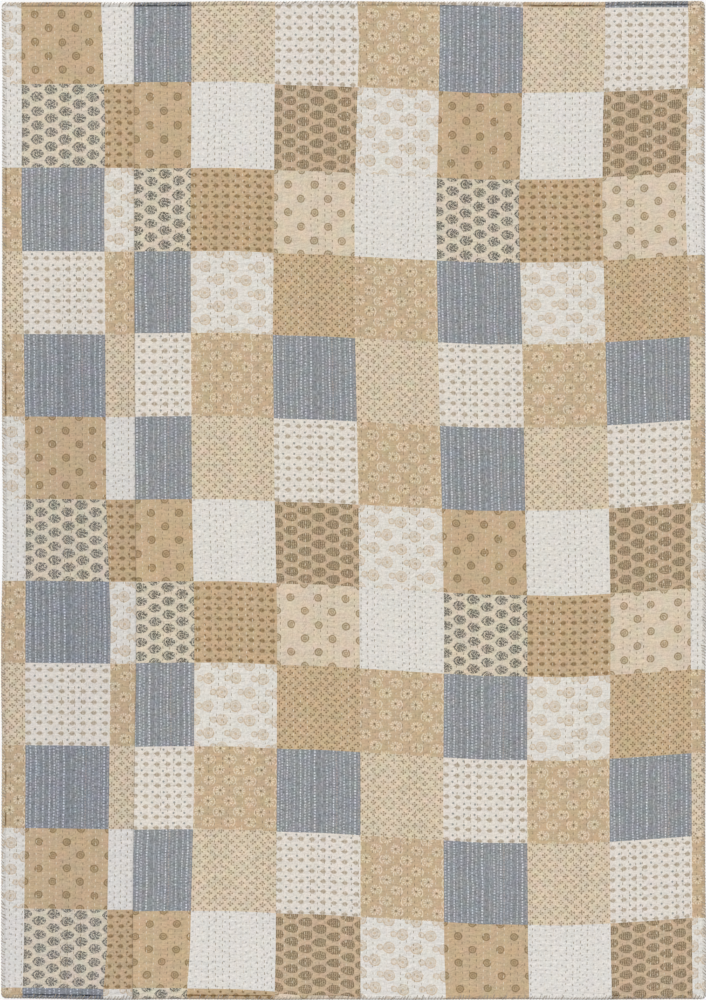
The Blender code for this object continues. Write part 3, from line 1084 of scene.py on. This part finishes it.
def rowLines(panel, rows, name):
    # The chosen rows of stitches as lines, with a point in the middle of each stitch
    points = []
    edges = []
    letters = ""
    count = int((quilt["length"] - 2 * quilt["rowEnds"]) / quilt["stitchPitch"]) + 2
    for row in rows:
        down = quilt["firstStitch"] + (np.arange(count) - panel.stitchPhase[row]) * quilt["stitchPitch"]
        down = down[(down > quilt["rowEnds"]) & (down < quilt["length"] - quilt["rowEnds"])]
        across = np.full(len(down), quilt["rowToEdge"] + row * panel.pitch)
        x, y = panel.place(across, down)
        first = len(points)
        points += [(px, py, quilt["stitchLine"]) for px, py in zip(x.tolist(), y.tolist())]
        edges += [(k, k + 1) for k in range(first, len(points) - 1)]
        u, v = printPlace(panel.node, 1000 * x, 1000 * (quilt["length"] / 2 - down))
        letters += "".join(letterAt(panel.node, *spot) for spot in zip(u.tolist(), v.tolist()))
    item = lineObject(name, points, edges)
    for where, kinds in (("onBlue", "B"), ("onWhite", "WRM")):
        values = [float(letter in kinds) for letter in letters]
        item.data.attributes.new(where, "FLOAT", "POINT").data.foreach_set("value", values)
    return item


# The whipped edge

whipStitch = {
    "Pitch": 0.0062,
    "Reach": 0.0088,                # from the outer side of the roll to its inner side
    "Rise": 0.0042,
    "Thread": 0.0016,
    "Slant": 0.62,                  # radians off square to the edge
    "Uneven": 0.5,
}


def whipTree(material):
    # Lays one slanted stitch over the roll at each pitch along the edge
    tree, entry, sizes, leave = newTree("whippedEdge", whipStitch, Seed="Int")
    line = addNode(tree, "GeometryNodeMeshToCurve", {"Mesh": entry["Geometry"]})
    entries = {"Curve": line.outputs[0], "Length": sizes["Pitch"]}
    points = addNode(tree, "GeometryNodeCurveToPoints", entries, mode="LENGTH")

    # One stitch: an arch over the roll, along X, from the outer side at 0 to the inner side
    reach, rise = sizes["Reach"], sizes["Rise"]
    arch = addNode(tree, "GeometryNodeCurvePrimitiveBezierSegment", {
        "Resolution": 6,
        "Start": vector(tree, reach * -0.02, 0.0, rise * 0.16),
        "Start Handle": vector(tree, reach * -0.03, 0.0, rise * 1.02),
        "End Handle": vector(tree, reach * 0.85, 0.0, rise * 1.12),
        "End": vector(tree, reach, 0.0, rise * 0.42),
    }, mode="POSITION")
    entries = {"Resolution": 5, "Radius": sizes["Thread"] * 0.5}
    section = addNode(tree, "GeometryNodeCurvePrimitiveCircle", entries)
    entries = {"Curve": arch.outputs[0], "Profile Curve": section.outputs["Curve"], "Fill Caps": True}
    body = addNode(tree, "GeometryNodeCurveToMesh", entries)

    # The edge runs anticlockwise, so inwards is to the left of its direction
    uneven = scatter(tree, entry["Seed"], -1.0, 1.0, 1.0) * sizes["Uneven"] + 1.0
    angle = math.pi / 2 - sizes["Slant"] * uneven
    size = scatter(tree, entry["Seed"], 0.84, 1.10, 2.0)
    scale = vector(tree, size, size, size)
    where = points.outputs["Points"]
    feed(tree, leave, sewOn(tree, points, where, body.outputs[0], angle, scale, material, "LOCAL"))
    return tree


def edgeLine(panel, name):
    # The panel's outer edge from seam to seam, anticlockwise seen from above
    radius = quilt["cornerRadius"]
    endPoints, sidePoints, cornerPoints = 60, 120, 6
    straight = np.linspace(panel.width - 0.002, radius, endPoints)
    turnAngles = np.linspace(0, math.pi / 2, cornerPoints)[1:-1]
    cornerAcross = radius - radius * np.sin(turnAngles)
    cornerDown = radius - radius * np.cos(turnAngles)
    sideDown = np.linspace(radius, quilt["length"] - radius, sidePoints)
    outer = np.zeros(sidePoints)
    across = np.concatenate([straight, cornerAcross, outer, cornerAcross[::-1], straight[::-1]])
    head = np.zeros(endPoints)
    foot = np.full(endPoints, quilt["length"])
    down = np.concatenate([head, cornerDown, sideDown, quilt["length"] - cornerDown[::-1], foot])
    x, y = panel.place(across, down)
    if not panel.onLeft:
        x, y = x[::-1], y[::-1]
    points = [(px, py, 0.0) for px, py in zip(x.tolist(), y.tolist())]
    return lineObject(name, points, [(k, k + 1) for k in range(len(points) - 1)])


# Floor, light and camera

studio = {
    "metresPerPixel": 0.0020064,    # of the photo, which is 706 by 1000
    "frameHeight": 1000,
    "frameMiddle": (-0.0010, 0.0004),
    "lens": 100.0,
    "sensor": 36.0,
    "sunFrom": (-0.22, 0.60, 1.0),  # the side that the light comes from
    "sunSoftness": 0.45,            # radians across
    "floorSize": 100,
    "floor": {"Base Color": (0.93, 0.93, 0.93, 1.0), "Roughness": 0.9, "Specular IOR Level": 0.1},
}


def paintedFloor():
    bpy.ops.mesh.primitive_plane_add(size=studio["floorSize"], location=(0, 0, 0))
    floor = bpy.context.object
    floor.name = "floor"
    floor.data.materials.append(newMaterial("paleFloor", studio["floor"])[0])
    return floor


def lightsAndCamera():
    world = bpy.data.worlds.new("studio")
    world.use_nodes = True
    background = world.node_tree.nodes["Background"]
    background.inputs["Color"].default_value = (1, 1, 1, 1)
    background.inputs["Strength"].default_value = exposure["worldStrength"]
    bpy.context.scene.world = world
    sun = bpy.data.lights.new("softSun", "SUN")
    sun.angle = studio["sunSoftness"]
    sun.energy = exposure["sunStrength"]
    sunObject = addObject("softSun", sun)
    sunObject.rotation_euler = Vector(studio["sunFrom"]).to_track_quat("Z", "Y").to_euler()
    camera = bpy.data.cameras.new("camera")
    camera.lens = studio["lens"]
    camera.sensor_width = studio["sensor"]
    camera.clip_end = 100
    seen = studio["frameHeight"] * studio["metresPerPixel"]
    cameraObject = addObject("camera", camera)
    cameraObject.location = (*studio["frameMiddle"], seen * studio["lens"] / studio["sensor"])
    bpy.context.scene.camera = cameraObject
    bpy.context.scene.view_settings.view_transform = "Standard"


paintedFloor()
lightsAndCamera()
print("floor, light and camera")

cottons = [plainBacking()]
cottons += [printedCotton(*kind) for kind in prints.values()]
whiteThread = thread("whiteThread")
tanThread = thread("tanThread")
edgeThread = thread("edgeThread", scale=150.0, uneven=0.9)
print("materials")

quiltRelief = reliefTree(cottons)
for node in ("narrow_panel", "wide_panel"):
    panel = Panel(node)
    short = node.split("_")[0]
    mesh, layers = quiltedCloth(panel)
    cloth = runTree(finishCloth(panel, mesh, layers), quiltRelief, relief)
    cloth.name = short + "PrintedCloth"
    cloth.data.set_sharp_from_angle(angle=math.radians(70))
    print(cloth.name, len(cloth.data.polygons), "faces")
    stitches = []
    for material, chosen in (
        (whiteThread, [row for row in range(panel.rows) if row not in tanRows[node]]),
        (tanThread, tanRows[node]),
    ):
        name = short + material.name[0].upper() + material.name[1:] + "Stitches"
        tree = stitchTree(material, cloth)
        piece = runTree(rowLines(panel, chosen, name), tree, {**runningStitch, "Seed": len(stitches) + 3})
        stitches.append(piece)
        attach(piece, "root")
        print(piece.name, len(piece.data.polygons), "faces")
    edge = edgeLine(panel, short + "WhippedEdge")
    whipping = runTree(edge, whipTree(edgeThread), {**whipStitch, "Seed": 5})
    print(whipping.name, len(whipping.data.polygons), "faces")
    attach(whipping, "root")
    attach(cloth, "root")
    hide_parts(node)
